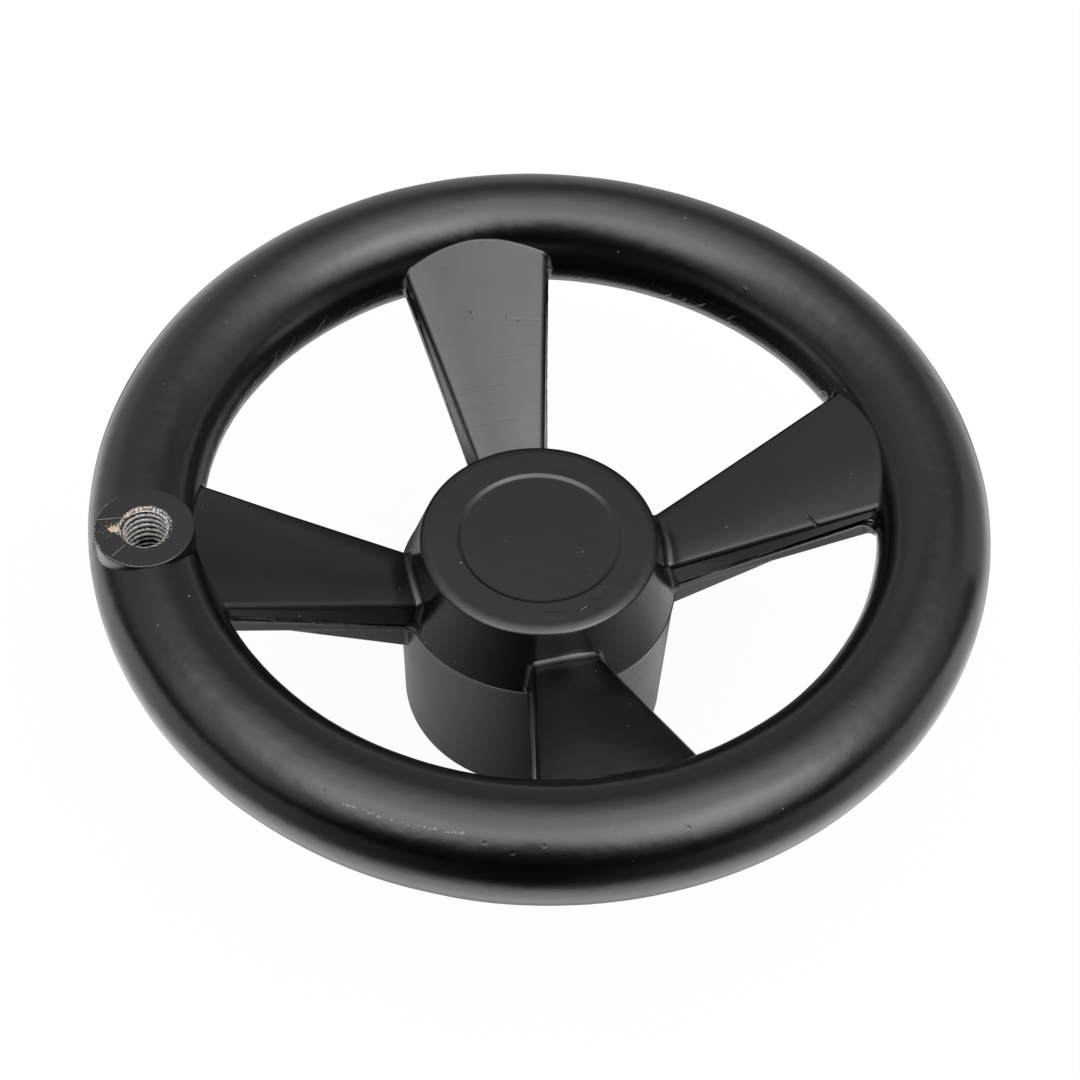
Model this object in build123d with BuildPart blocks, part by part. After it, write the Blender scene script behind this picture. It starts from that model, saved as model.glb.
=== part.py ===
from build123d import *
import os
from math import radians, sqrt, tan

# Dished machine handwheel, cast in one piece and painted all over.
# A round rim is carried by four fan-shaped spokes that fall from the rim to a long hub.
# The hub's front face is closed, and the shaft enters from the foot, the hub's far end.
# A flat boss on the rim has the threaded hole of a revolving handle, which is not fitted.
#
# Frame: origin at the centre of the foot, +Z along the axis towards the closed front face.
# The spokes point to +X, +Y, -X and -Y, and the handle boss is on -X.
# All lengths are in millimetres and all angles in degrees.

# Rim: a ring of slightly oval section
rim_outer_diameter = 180.0
rim_section_width = 22.5
rim_section_height = 23.6
rim_mid_height = 60.75

# Hub: tapered from its parting line to the foot, and conical from there up to the face
hub_height = 50.6
hub_foot_diameter = 55.4
hub_parting_diameter = 57.4
hub_parting_height = 36.0
hub_face_diameter = 48.3
hub_face_rounding = 1.35
hub_foot_rounding = 0.5
recess_diameter = 33.3
recess_floor_diameter = 31.4
recess_depth = 0.45
recess_rounding = 0.8

# Shaft bore: blind, entered from the foot, with a keyway
bore_diameter = 18.0
bore_depth = 38.0
bore_chamfer = 1.0
keyway_width = 6.0
keyway_reach = 11.8

# Spokes: the first value is taken where the spoke leaves the hub, the second where it meets the rim.
# At the hub the spoke's parting line runs a little above the hub's own.
spoke_count = 4
spoke_root_width = 14.7
spoke_tip_width = 31.5
spoke_root_drop = 6.8
spoke_tip_rise = 3.9
spoke_parting_rise = 2.2
spoke_root_skirt = 2.4
spoke_tip_skirt = 4.05
spoke_root_crown = 0.9
spoke_tip_crown = 1.95
spoke_draft = 5.7
skirt_draft = 2.9
spoke_edge_rounding = 0.95
skirt_edge_rounding = 0.6
spoke_root_embed = 6.0
spoke_tip_inset = 3.2

# Rib under each spoke
rib_root_width = 6.8
rib_tip_width = 14.6
rib_root_drop = 14.0
rib_tip_drop = 12.6
rib_rounding = 1.0

# Handle boss, on the rim's crest, and its tapped hole, cut to the thread's major diameter
boss_diameter = 19.3
boss_proud = 0.2
boss_rounding = 0.3
handle_thread_diameter = 10.0
handle_hole_depth = 18.0
drill_point_angle = 118.0

rim_outer_radius = rim_outer_diameter / 2
rim_inner_radius = rim_outer_radius - rim_section_width
rim_centre_radius = rim_outer_radius - rim_section_width / 2
hub_parting_radius = hub_parting_diameter / 2
spoke_root_parting = hub_parting_height + spoke_parting_rise
recess_floor = hub_height - recess_depth
bore_radius = bore_diameter / 2
boss_top = rim_mid_height + rim_section_height / 2 + boss_proud
boss_radius = boss_diameter / 2
handle_thread_radius = handle_thread_diameter / 2
drill_point_height = handle_thread_radius / tan(radians(drill_point_angle / 2))

# The root values hold where the spoke's side meets the hub's parting circle
root_x = sqrt(hub_parting_radius**2 - (spoke_root_width / 2) ** 2)
inner_x = root_x - spoke_root_embed
outer_x = rim_centre_radius - spoke_tip_inset

# The planes of the turned profiles: through the wheel's axis midway between two spokes,
# and through the boss's axis across the rim
profile_plane = Plane(origin=(0, 0, 0), x_dir=(1, 1, 0), z_dir=(1, -1, 0))
boss_plane = Plane(origin=(-rim_centre_radius, 0, 0), x_dir=(0, 1, 0), z_dir=(1, 0, 0))
boss_axis = Axis((-rim_centre_radius, 0, 0), (0, 0, 1))


def along(x, root_value, tip_value):
    """A value that changes evenly along the spoke, taken at the distance x from the axis."""
    return root_value + (tip_value - root_value) * (x - root_x) / (rim_inner_radius - root_x)


def spoke_plane(x):
    """The plane across a spoke at the distance x from the axis, with its own Y along +Z."""
    return Plane(origin=(x, 0, 0), x_dir=(0, 1, 0), z_dir=(1, 0, 0))


def spoke_corners(x):
    """The corners of one half of the spoke's section: edge, parting line, skirt and rib."""
    top = along(x, hub_height - spoke_root_drop, rim_mid_height + spoke_tip_rise)
    parting = along(x, spoke_root_parting, rim_mid_height)
    skirt = along(x, spoke_root_parting - spoke_root_skirt, rim_mid_height - spoke_tip_skirt)
    rib_foot = along(x, spoke_root_parting - rib_root_drop, rim_mid_height - rib_tip_drop)
    edge_half = along(x, spoke_root_width / 2, spoke_tip_width / 2)
    parting_half = edge_half + (top - parting) * tan(radians(spoke_draft))
    skirt_half = parting_half - (parting - skirt) * tan(radians(skirt_draft))
    rib_half = along(x, rib_root_width / 2, rib_tip_width / 2)
    rib_top_half = rib_half + (skirt - rib_foot) * tan(radians(skirt_draft))
    return [
        (edge_half, top),
        (parting_half, parting),
        (skirt_half, skirt),
        (rib_top_half, skirt),
        (rib_half, rib_foot),
    ]


# One spoke: a crowned plate with a skirt, and a rib along the middle of its underside
with BuildPart() as spoke:
    for x in (inner_x, outer_x):
        corners = spoke_corners(x)
        mirrored = [(-y, z) for y, z in reversed(corners)]
        crest = (0, corners[0][1] + along(x, spoke_root_crown, spoke_tip_crown))
        with BuildSketch(spoke_plane(x)):
            with BuildLine():
                ThreePointArc(mirrored[-1], crest, corners[0])
                Polyline(corners + mirrored)
            make_face()
    loft(ruled=True)


def long_edges(outside):
    """The spoke's lengthwise edges: those of its outer sides, or those of its rib."""
    lengthwise = spoke.edges().filter_by(lambda edge: edge.length > outer_x - inner_x)
    return lengthwise.filter_by(lambda edge: (abs(edge.position_at(0.5).Y) > rib_tip_width / 2) == outside)


with spoke:
    fillet(long_edges(True).group_by(Axis.Z)[-1], radius=spoke_edge_rounding)
    fillet(long_edges(True).group_by(Axis.Z)[0], radius=skirt_edge_rounding)
    fillet(long_edges(False).group_by(Axis.Z)[-1], radius=rib_rounding)
    fillet(long_edges(False).group_by(Axis.Z)[0], radius=rib_rounding)

# The hub's half section in its profile plane, with its ends rounded and the recess of its face
with BuildSketch() as hub_section:
    with BuildLine():
        Polyline(
            (0, 0),
            (hub_foot_diameter / 2, 0),
            (hub_parting_radius, hub_parting_height),
            (hub_face_diameter / 2, hub_height),
            (recess_diameter / 2, hub_height),
            (recess_floor_diameter / 2, recess_floor),
            (0, recess_floor),
            close=True,
        )
    make_face()
    face_corners = hub_section.vertices().group_by(Axis.Y)[-1].sort_by(Axis.X)
    foot_corners = hub_section.vertices().group_by(Axis.Y)[0].sort_by(Axis.X)
    fillet(face_corners[0], radius=recess_rounding)
    fillet(face_corners[-1], radius=hub_face_rounding)
    fillet(foot_corners[-1], radius=hub_foot_rounding)

# The handle boss's half section, from inside the rim up to its flat face
with BuildSketch() as boss_section:
    with BuildLine():
        Polyline(
            (0, rim_mid_height),
            (boss_radius, rim_mid_height),
            (boss_radius, boss_top),
            (0, boss_top),
            close=True,
        )
    make_face()
    fillet(boss_section.vertices().group_by(Axis.Y)[-1].sort_by(Axis.X)[-1], radius=boss_rounding)

# The tapped hole's half section, with the cone that its drill leaves
with BuildSketch() as hole_section:
    with BuildLine():
        Polyline(
            (0, boss_top),
            (handle_thread_radius, boss_top),
            (handle_thread_radius, boss_top - handle_hole_depth),
            (0, boss_top - handle_hole_depth - drill_point_height),
            close=True,
        )
    make_face()

with BuildPart() as handwheel:
    # Rim and hub
    with BuildSketch(profile_plane):
        with Locations((rim_centre_radius, rim_mid_height)):
            Ellipse(rim_section_width / 2, rim_section_height / 2)
        add(hub_section.sketch)
    revolve(axis=Axis.Z)

    # Spokes
    with PolarLocations(0, spoke_count):
        add(spoke.part)

    # Shaft bore with its keyway and a chamfered mouth
    with BuildSketch(Plane.XY):
        Circle(bore_radius)
        with Locations((keyway_reach / 2, 0)):
            Rectangle(keyway_reach, keyway_width)
    extrude(amount=bore_depth, mode=Mode.SUBTRACT)
    with BuildSketch(Plane.XY):
        Circle(bore_radius + bore_chamfer)
    extrude(amount=bore_chamfer, taper=45, mode=Mode.SUBTRACT)

    # Handle boss and its tapped hole
    with BuildSketch(boss_plane):
        add(boss_section.sketch)
    revolve(axis=boss_axis)
    with BuildSketch(boss_plane):
        add(hole_section.sketch)
    revolve(axis=boss_axis, mode=Mode.SUBTRACT)

os.makedirs("parts", exist_ok=True)
handwheel.part.label = "handwheel"
export_step(handwheel.part, "parts/handwheel.step")
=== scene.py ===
import bpy
import numpy as np
from math import cos, radians, sin
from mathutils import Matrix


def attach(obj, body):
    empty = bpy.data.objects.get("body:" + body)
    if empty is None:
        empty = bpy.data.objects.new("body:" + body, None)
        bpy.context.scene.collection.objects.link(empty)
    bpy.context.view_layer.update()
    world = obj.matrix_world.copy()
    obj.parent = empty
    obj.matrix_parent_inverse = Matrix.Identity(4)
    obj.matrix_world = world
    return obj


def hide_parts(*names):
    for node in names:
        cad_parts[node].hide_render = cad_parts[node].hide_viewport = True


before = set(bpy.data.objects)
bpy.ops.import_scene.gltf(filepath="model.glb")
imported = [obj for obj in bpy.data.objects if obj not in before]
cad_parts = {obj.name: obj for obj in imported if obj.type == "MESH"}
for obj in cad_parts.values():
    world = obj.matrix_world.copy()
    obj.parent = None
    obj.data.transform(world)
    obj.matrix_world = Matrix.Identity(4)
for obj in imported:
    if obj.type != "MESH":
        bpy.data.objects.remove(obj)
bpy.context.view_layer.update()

# ---- Sizes of the handwheel in millimetres
# +Z is its axis, the spokes lie on +X, +Y, -X and -Y, and the handle boss is on -X. A plain name
# such as HUB_FACE or BORE is a radius. The sizes are the solid's, apart from small departures of
# the real casting.

RIM_CENTRE = 78.75
RIM_HALF_WIDTH = 11.25
RIM_HALF_HEIGHT = 11.8
RIM_MID = 60.75
RIM_INNER = RIM_CENTRE - RIM_HALF_WIDTH

HUB_HEIGHT = 50.6
HUB_FOOT = 27.7
HUB_PARTING = 28.7
HUB_PARTING_HEIGHT = 36.0
HUB_FACE = 24.15
HUB_FOOT_ROUNDING = 0.5
# The face's edge is an arc this wide and this high.
FACE_ARC_WIDTH = 2.3
FACE_ARC_HEIGHT = 1.15
RECESS = 16.8
RECESS_FLOOR = 16.05
RECESS_DEPTH = 0.45
RECESS_ROUNDING = 0.3
RECESS_FLOOR_ROUNDING = 0.6
BORE = 9.0
BORE_DEPTH = 38.0
BORE_CHAMFER = 1.0
KEYWAY_HALF = 3.0
KEYWAY_REACH = 11.8

# Spokes: the first value holds where a spoke leaves the hub and the second where it meets the rim.
SPOKE_PARTING_RISE = 2.2
SPOKE_PARTING = (HUB_PARTING_HEIGHT + SPOKE_PARTING_RISE, RIM_MID)
SPOKE_TOP = (HUB_HEIGHT - 6.8, RIM_MID + 3.9)
SPOKE_HALF = (7.35, 15.75)
SPOKE_CROWN = (0.9, 1.45)
SKIRT_DROP = (2.4, 4.05)
RIB_DROP = (14.0, 12.6)
RIB_HALF = (3.4, 7.3)
SPOKE_DRAFT, SKIRT_DRAFT = 5.7, 2.9
SPOKE_EDGE_ROUNDING, SKIRT_ROUNDING, RIB_ROUNDING = 1.6, 0.6, 1.0
SPOKE_ROOT_X = (HUB_PARTING**2 - SPOKE_HALF[0] ** 2) ** 0.5
# The fillets where a spoke runs into the hub and the rim, above the spoke and underneath it
HUB_FILLET_ABOVE, RIM_FILLET_ABOVE, FILLET_BELOW = 1.35, 1.2, 0.85

# The foot's half of the casting stands this far proud of the other at the parting line.
PROUD = 0.14

BOSS = 9.65
BOSS_AT = (-78.62, -0.38)
BOSS_TOP = RIM_MID + RIM_HALF_HEIGHT + 0.2
BOSS_ROUNDING = 0.3
HOLE_AT = (-78.38, -0.25)
HOLE_DEPTH = 18.0
MOUTH_ROUNDING = 0.12
THREAD_MAJOR = 5.0
THREAD_MINOR = 4.2
THREAD_PITCH = 1.5
DRILL_POINT = 2.5

# ---- Mesh helpers


def add_object(name, data):
    """A new object in the scene."""
    made = bpy.data.objects.new(name, data)
    bpy.context.scene.collection.objects.link(made)
    return made


def closed_surface(name, points, first_tip, last_tip, sharp=40.0, **masks):
    """A closed surface on a grid. The rows go from one tip to the other, and each row is a closed
    ring. Each quad joins four neighbours, the two tips are fans, and the whole is turned so that
    its signed volume is positive. Without tips the last row joins the first. Each mask is a grid of
    numbers that the finish reads by name."""
    rows, columns = points.shape[:2]
    here = np.arange(rows * columns).reshape(rows, columns)
    beside = np.roll(here, -1, axis=1)
    quads = np.stack([here[:-1], beside[:-1], beside[1:], here[1:]], axis=-1).reshape(-1, 4)
    if first_tip is None:
        ends = np.stack([here[-1], beside[-1], beside[0], here[0]], axis=-1)
        quads = np.concatenate([quads, ends])
        fans = np.zeros((0, 3), int)
        vertices = points.reshape(-1, 3)
    else:
        vertices = np.concatenate([points.reshape(-1, 3), [first_tip], [last_tip]])
        first, last = rows * columns, rows * columns + 1
        fans = np.concatenate([
            np.stack([np.full(columns, first), beside[0], here[0]], axis=-1),
            np.stack([np.full(columns, last), here[-1], beside[-1]], axis=-1),
        ])
    corners = vertices[quads]
    volume = (np.cross(corners[:, 0], corners[:, 1]) * corners[:, 2]).sum()
    volume += (np.cross(corners[:, 0], corners[:, 2]) * corners[:, 3]).sum()
    if volume < 0:
        quads, fans = quads[:, ::-1], fans[:, ::-1]
    mesh = bpy.data.meshes.new(name)
    mesh.from_pydata((vertices * 0.001).tolist(), [], quads.tolist() + fans.tolist())
    mesh.polygons.foreach_set("use_smooth", np.ones(len(mesh.polygons), bool))
    mesh.set_sharp_from_angle(angle=radians(sharp))
    for mask_name, mask in masks.items():
        layer = mesh.attributes.new(mask_name, "FLOAT", "POINT")
        numbers = np.zeros(len(vertices), np.float32)
        numbers[:mask.size] = mask.ravel()
        layer.data.foreach_set("value", numbers)
    mesh.update()
    return add_object(name, mesh)


def between(start, end, count, ends=(True, True)):
    """Points spread evenly from start to end, which are single points or rows of them. Ends says
    whether each of the two is among the result."""
    steps = np.linspace(0.0, 1.0, count + (not ends[0]) + (not ends[1]))
    steps = steps[(0 if ends[0] else 1):(len(steps) if ends[1] else -1)]
    start, end = np.asarray(start, float), np.asarray(end, float)
    return start[..., None, :] * (1 - steps[:, None]) + end[..., None, :] * steps[:, None]


def unit(vectors):
    """The vectors at length one."""
    return vectors / np.linalg.norm(vectors, axis=-1, keepdims=True)


def rounding(before, corner, after, radius, count):
    """The arc that rounds a corner: tangent to the lines from the corner to the points before and
    after it, about a centre on their bisector, with its points evenly spread in angle."""
    before, corner, after = (np.asarray(p, float) for p in (before, corner, after))
    to_before, to_after = unit(before - corner), unit(after - corner)
    half = np.arccos(np.clip((to_before * to_after).sum(-1, keepdims=True), -1, 1)) / 2
    centre = corner + unit(to_before + to_after) * radius / np.sin(half)
    first = corner + to_before * radius / np.tan(half) - centre
    last = corner + to_after * radius / np.tan(half) - centre
    turn = np.pi - 2 * half
    steps = np.linspace(0.0, 1.0, count)[:, None]
    turn = turn[..., None, :]
    arc = first[..., None, :] * np.sin((1 - steps) * turn) + last[..., None, :] * np.sin(steps * turn)
    return centre[..., None, :] + arc / np.sin(turn)


def ripple(seed, waves, longest, amplitude, *turns):
    """A smooth closed unevenness: a sum of cosines of whole-number waves round each of the given
    angles, with random phases, where shorter waves are lower."""
    dice = np.random.default_rng(seed)
    total = np.zeros(np.broadcast(*turns).shape)
    for _ in range(waves):
        counts = [dice.integers(-most, most + 1) for most in longest]
        size = 1.0 / (1.0 + sum((count / max(most, 1)) ** 2 for count, most in zip(counts, longest)))
        phase = dice.uniform(0, 2 * np.pi)
        total += size * np.cos(sum(c * t for c, t in zip(counts, turns)) + phase)
    return amplitude * total / np.sqrt(waves)


def grid_normals(points):
    """Unit normals of a grid whose rows are closed rings: the cross product of the differences to
    the neighbours along and round it."""
    along = np.gradient(points, axis=0)
    around = np.roll(points, -1, axis=1) - np.roll(points, 1, axis=1)
    return unit(np.cross(along, around))


def outward_normals(points):
    """The normals of a tube, turned so that they point out of it."""
    normals = grid_normals(points)
    outward = (normals * (points - points.mean(axis=1, keepdims=True))).sum() > 0
    return normals if outward else -normals


def round_axis(radius, turn, height):
    """Points at a radius and an angle about the axis, and at a height."""
    return np.stack([radius * np.cos(turn), radius * np.sin(turn), height], axis=-1)


def turned_about_z(points, degrees):
    """The points turned about the wheel's axis."""
    angle = radians(degrees)
    return points @ np.array([[cos(angle), sin(angle), 0], [-sin(angle), cos(angle), 0], [0, 0, 1]])


def turned_from(angle, centre):
    """How far an angle lies from a centre given in degrees, either way round, in radians."""
    return np.angle(np.exp(1j * (angle - radians(centre))))


def near_angle(angle, centre, spread):
    """A bell over an angle: one at the centre and a third at the spread beside it."""
    return np.exp(-((turned_from(angle, centre) / radians(spread)) ** 2))


# ---- Rim

# Where the parting line was ground: degrees round the rim, and how far each place spreads
GROUND = ((71, 13), (108, 11), (140, 16), (22, 22), (48, 14), (196, 20), (-20, 18), (-72, 16),
          (-110, 14))
GRINDING_DEPTH = 0.03
# The middle of the ground strip, in degrees round the rim's section from its outermost point
GROUND_MIDDLE = 192
SEAM_HEIGHT = 0.05
# The floor of the dip under the boss: its height in the middle and by its wall
DIP_FLOOR, DIP_EDGE = 50.1, 58.1


def bumps_and_pits(seed, count, turn, section, side_range, height_range):
    """Small round lumps and dents: a sum of bells at random places on the rim's two angles."""
    dice = np.random.default_rng(seed)
    total = np.zeros(np.broadcast(turn, section).shape)
    for _ in range(count):
        place, side = dice.uniform(-np.pi, np.pi), dice.uniform(*side_range)
        size, height = dice.uniform(0.5, 1.1), dice.uniform(*height_range)
        across = RIM_CENTRE * np.angle(np.exp(1j * (turn - place)))
        round_it = RIM_HALF_WIDTH * np.angle(np.exp(1j * (section - side)))
        total += height * np.exp(-(across**2 + round_it**2) / size**2)
    return total


def rim_points(columns=720, rows=136):
    """The rim: an ellipse carried round the axis, with a slight unevenness along its normal. Its
    rows lie closer together on the inner flank, where the casting's parting line was ground flat
    beside the spokes. Under the handle boss the crest dips down out of the way of the tapped hole.
    The mask says where the grinding shows."""
    turn = np.linspace(0, 2 * np.pi, columns, endpoint=False)[:, None]
    even = np.linspace(0, 2 * np.pi, rows, endpoint=False)[None, :]
    section = even + 0.45 * np.sin(even)
    lift = ripple(3, 60, (34, 5), 0.045, turn, section)
    lift += ripple(5, 40, (150, 14), 0.012, turn, section)
    lift += bumps_and_pits(7, 60, turn, section, (-2.6, 1.2), (-0.05, 0.08))
    ground = np.clip(sum(near_angle(turn, centre, spread) for centre, spread in GROUND), 0, 1)
    depth = GRINDING_DEPTH * ground * (1 + 0.5 * ripple(11, 30, (40, 0), 1.0, turn, turn * 0))
    flank = np.cos(section - radians(GROUND_MIDDLE))
    lift -= np.clip(flank - (1 - np.maximum(depth, 0) / RIM_HALF_WIDTH), 0, None) * RIM_HALF_WIDTH
    seam = np.exp(-((section - np.pi - 0.01 * np.sin(9 * turn)) / 0.022) ** 2)
    lift += SEAM_HEIGHT * seam * (0.15 + 0.85 * near_angle(turn, 138, 30))
    radius = RIM_CENTRE + (RIM_HALF_WIDTH + lift) * np.cos(section)
    height = RIM_MID + (RIM_HALF_HEIGHT + lift) * np.sin(section)
    points = round_axis(radius, turn, height)
    off_boss = np.hypot(points[..., 0] + RIM_CENTRE, points[..., 1])
    dip = (off_boss < BOSS - 0.9) & (np.sin(section) > 0)
    dip_floor = DIP_FLOOR + (DIP_EDGE - DIP_FLOOR) * np.clip((off_boss - 6.0) / 2.6, 0, 1)
    points[..., 2] = np.where(dip, dip_floor, points[..., 2])
    band = np.clip((section - radians(172)) / 0.08, 0, 1) * np.clip((radians(226) - section) / 0.3, 0, 1)
    return points, np.clip(0.15 + ground, 0, 1) * band


# ---- Hub


def hub_side(height):
    """The hub's radius at a height: the foot's slight taper below the parting line and the cone
    above it."""
    foot = HUB_FOOT + (HUB_PARTING - HUB_FOOT) * height / HUB_PARTING_HEIGHT
    cone = HUB_PARTING + (HUB_FACE - HUB_PARTING) * (height - HUB_PARTING_HEIGHT) / (
        HUB_HEIGHT - HUB_PARTING_HEIGHT)
    return np.minimum(foot, cone)


def hub_points(columns=360):
    """The hub: a half section of bore, foot, side, rounded face and recess, turned about the axis.
    The bore's rows reach out to the keyway, whose walls and floor are straight lines in the plan."""
    recess_edge = np.array([RECESS, HUB_HEIGHT])
    floor_edge = np.array([RECESS_FLOOR, HUB_HEIGHT - RECESS_DEPTH])
    foot_arc = rounding((0, 0), (HUB_FOOT, 0), (HUB_PARTING, HUB_PARTING_HEIGHT), HUB_FOOT_ROUNDING, 6)
    fall = (HUB_PARTING - HUB_FACE) / (HUB_HEIGHT - HUB_PARTING_HEIGHT)
    first = np.arctan(fall * FACE_ARC_HEIGHT / FACE_ARC_WIDTH)
    swing = np.linspace(first, np.pi / 2, 20)
    face_z = HUB_HEIGHT - FACE_ARC_HEIGHT + FACE_ARC_HEIGHT * np.sin(swing)
    face_arc = np.stack([FACE_ARC_WIDTH * np.cos(swing), face_z], axis=-1)
    face_arc[:, 0] += hub_side(face_z[0]) - face_arc[0, 0]
    recess_arc = rounding(face_arc[-1], recess_edge, floor_edge, RECESS_ROUNDING, 8)
    floor_arc = rounding(recess_edge, floor_edge, (0, floor_edge[1]), RECESS_FLOOR_ROUNDING, 9)
    heights = np.linspace(foot_arc[-1, 1], HUB_PARTING_HEIGHT - 1.2, 70, endpoint=False)[1:]
    lower = np.stack([hub_side(heights), heights], axis=-1)
    ledge = np.array([(0.02, -1.0), (PROUD * 0.7, -0.5), (PROUD, -0.12), (PROUD * 0.95, 0.0),
                      (PROUD * 0.25, 0.10), (0.0, 0.16), (0.0, 0.5)]) + (0, HUB_PARTING_HEIGHT)
    ledge[:, 0] += hub_side(ledge[:, 1])
    heights = np.linspace(HUB_PARTING_HEIGHT + 1.0, face_arc[0, 1], 32, endpoint=False)
    upper = np.stack([hub_side(heights), heights], axis=-1)
    outer = np.concatenate([
        between((BORE + BORE_CHAMFER, 0.0), foot_arc[0], 12, (True, False)),
        foot_arc, lower, ledge, upper, face_arc,
        between(face_arc[-1], recess_arc[0], 12, (False, False)),
        recess_arc, floor_arc,
        between(floor_arc[-1], (0.6, floor_edge[1]), 24, (False, True)),
    ])
    turn = np.linspace(-np.pi, np.pi, columns, endpoint=False)
    keyway = np.minimum(KEYWAY_HALF / np.maximum(np.abs(np.sin(turn)), 1e-6),
                        KEYWAY_REACH / np.maximum(np.cos(turn), 1e-6))
    keyway = np.where(np.cos(turn) > 0, keyway, 0)
    bore_radius = np.maximum(BORE, keyway)
    bore_mouth = np.maximum(BORE + BORE_CHAMFER, keyway)
    bore_rows = [(bore_radius * 0.05, BORE_DEPTH), (bore_radius, BORE_DEPTH),
                 (bore_radius, BORE_DEPTH / 2), (bore_radius, BORE_CHAMFER), (bore_mouth, 0.0)]
    radius = np.concatenate([[row[0] for row in bore_rows], np.repeat(outer[1:, :1], columns, axis=1)])
    height = np.concatenate([[np.full(columns, row[1]) for row in bore_rows],
                             np.repeat(outer[1:, 1:], columns, axis=1)])
    # One on the hub's side, fading out over the edge of its face, and zero in its bore
    outside = np.clip((radius - HUB_PARTING + 6) / 3, 0, 1)
    at_parting = np.exp(-((height - HUB_PARTING_HEIGHT) / 0.9) ** 2) * outside
    angle = turn[None, :] + np.zeros_like(height)
    height = height + at_parting * ripple(17, 30, (60, 0), 0.05, angle, angle * 0)
    radius = radius + outside * ripple(19, 40, (14, 3), 0.02, angle, height / 8)
    sanded = outside * np.clip((HUB_PARTING_HEIGHT + 0.05 - height) / 0.1, 0, 1)
    return round_axis(radius, turn, height), sanded


# ---- Spokes


def spoke_corners(x):
    """One half of a spoke's section at the distance x from the axis, as points (y, z): the top
    edge, the parting line, the skirt's edge, the rib's root and the rib's foot, with the slope of
    the crown at the top edge. Every size changes evenly from the hub to the rim."""
    share = (x - SPOKE_ROOT_X) / (RIM_INNER - SPOKE_ROOT_X)
    top, parting, skirt_drop, rib_drop, edge_half, crown, rib_half = (
        at_hub + (at_rim - at_hub) * share for at_hub, at_rim in (
            SPOKE_TOP, SPOKE_PARTING, SKIRT_DROP, RIB_DROP, SPOKE_HALF, SPOKE_CROWN, RIB_HALF))
    skirt, foot = parting - skirt_drop, parting - rib_drop
    parting_half = edge_half + (top - parting) * np.tan(radians(SPOKE_DRAFT))
    skirt_half = parting_half - skirt_drop * np.tan(radians(SKIRT_DRAFT))
    root_half = rib_half + (skirt - foot) * np.tan(radians(SKIRT_DRAFT))
    corners = [np.stack(pair, axis=-1) for pair in (
        (edge_half, top), (parting_half, parting), (skirt_half, skirt),
        (root_half, skirt), (rib_half, foot))]
    return corners, 2 * crown / edge_half


def spoke_sections(x):
    """Whole closed sections of a spoke at the distances x: a crowned top, rounded edges, the ledge
    at the parting line, the skirt and the rounded rib, mirrored about the middle."""
    (edge, parting, skirt, root, foot), slope = spoke_corners(x)
    inward = np.stack([-np.ones_like(slope), slope], axis=-1)
    edge_arc = rounding(edge + inward, edge, parting, SPOKE_EDGE_ROUNDING, 11)
    start = edge_arc[:, 0]
    crown_y = start[:, :1] * np.linspace(0, 1, 16)[:-1]
    crown_z = start[:, 1:] + slope[:, None] / 2 / start[:, :1] * (start[:, :1] ** 2 - crown_y**2)
    skirt_arc = rounding(parting, skirt, root, SKIRT_ROUNDING, 6)
    root_arc = rounding(skirt, root, foot, RIB_ROUNDING, 7)
    foot_arc = rounding(root, foot, foot - (1.0, 0.0), RIB_ROUNDING, 7)
    middle = np.stack([np.zeros_like(x), foot[:, 1]], axis=-1)
    ledge = [parting + step for step in ((0.0, 0.45), (0.0, 0.14), (PROUD * 0.3, 0.10),
                                         (PROUD * 0.95, 0.0), (PROUD, -0.10), (PROUD * 0.7, -0.45))]
    half = np.concatenate([
        np.stack([crown_y, crown_z], axis=-1),
        edge_arc,
        between(edge_arc[:, -1], parting + (-0.03, 0.6), 7, (False, True)),
        np.stack(ledge, axis=1),
        between(parting + (0.0, -0.7), skirt_arc[:, 0], 5, (True, False)),
        skirt_arc,
        between(skirt_arc[:, -1], root_arc[:, 0], 8, (False, False)),
        root_arc,
        between(root_arc[:, -1], foot_arc[:, 0], 9, (False, False)),
        foot_arc,
        between(foot_arc[:, -1], middle, 4, (False, True)),
    ], axis=1)
    other = half[:, -2:0:-1] * (-1.0, 1.0)
    return np.concatenate([half, other], axis=1)


# Columns of a half section, in the order of spoke_sections: where the skirt's side begins, where
# the underside begins, and the ledge's own
SKIRT_COLUMN, UNDER_COLUMN, LEDGE_COLUMN = 33, 47, 36
FILLET_ROWS = 12


def columns_from_crest(columns):
    """How many columns each column of a closed section lies from the crest, either way round."""
    place = np.arange(columns)
    return np.minimum(place, columns - place)


def hub_normals(points):
    """Unit normals of the hub's side at points on it."""
    x, y, z = np.moveaxis(points, -1, 0)
    flat = np.hypot(x, y)
    slope = (hub_side(z + 0.4) - hub_side(z - 0.4)) / 0.8
    return unit(np.stack([x / flat, y / flat, -slope], axis=-1))


def rim_normals(points):
    """Unit normals of the rim's ellipse at points on it."""
    x, y, z = np.moveaxis(points, -1, 0)
    flat = np.hypot(x, y)
    across = (flat - RIM_CENTRE) / RIM_HALF_WIDTH**2
    upward = (z - RIM_MID) / RIM_HALF_HEIGHT**2
    return unit(np.stack([x / flat * across, y / flat * across, upward], axis=-1))


def crossing(values, points, normals):
    """The points and normals where each column of values first changes sign. The points of the
    two rows round the change are mixed in proportion to the values there."""
    change = np.argmax(np.diff(np.sign(values), axis=0) != 0, axis=0)
    column = np.arange(values.shape[1])
    low, high = values[change, column], values[change + 1, column]
    share = (low / (low - high))[:, None]
    meeting = points[change, column] * (1 - share) + points[change + 1, column] * share
    return meeting, normals[change, column]


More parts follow.
